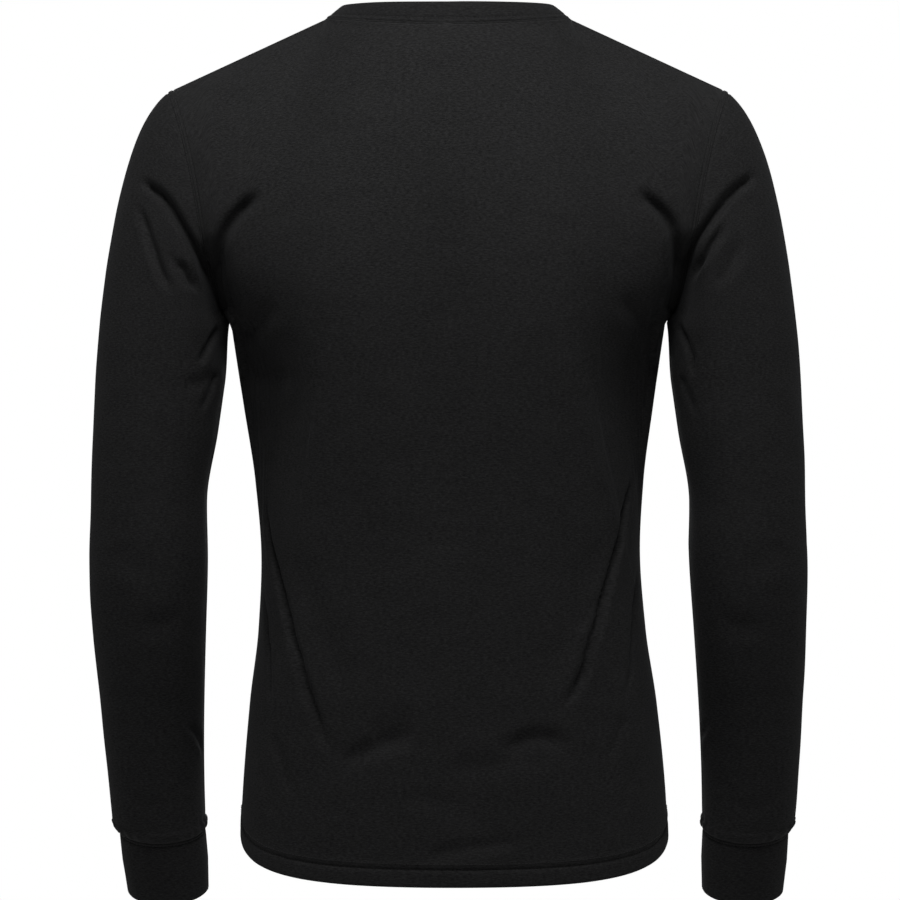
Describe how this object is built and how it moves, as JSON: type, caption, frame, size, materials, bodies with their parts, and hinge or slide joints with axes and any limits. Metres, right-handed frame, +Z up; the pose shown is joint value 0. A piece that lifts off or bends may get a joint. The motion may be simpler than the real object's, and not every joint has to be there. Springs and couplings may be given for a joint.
{
  "type": "base layer top",
  "caption": "Long-sleeved base layer top in charcoal jersey, filled out as worn with both arms down: crew neckband, set-in sleeves, cuffs and curved hem.",
  "frame": {"origin": "on the wearer's shoulders, midway between the neck ends of the two shoulder seams, where the wearer carries the top", "axes": "+Z up the wearer's body, +X to the wearer's left arm, the wearer faces -Y"},
  "size_m": [0.5876, 0.226, 0.7426],
  "materials": {
    "jersey": "matt fine-knit jersey, near-black charcoal with a faint heather",
    "band": "doubled fine-knit jersey, near-black charcoal"
  },
  "bodies": {
    "root": {"back": "jersey", "front": "jersey", "sleeve_left": "jersey", "sleeve_right": "jersey", "cuff_left": "band", "cuff_right": "band", "neckband": "band"}
  },
  "joints": []
}
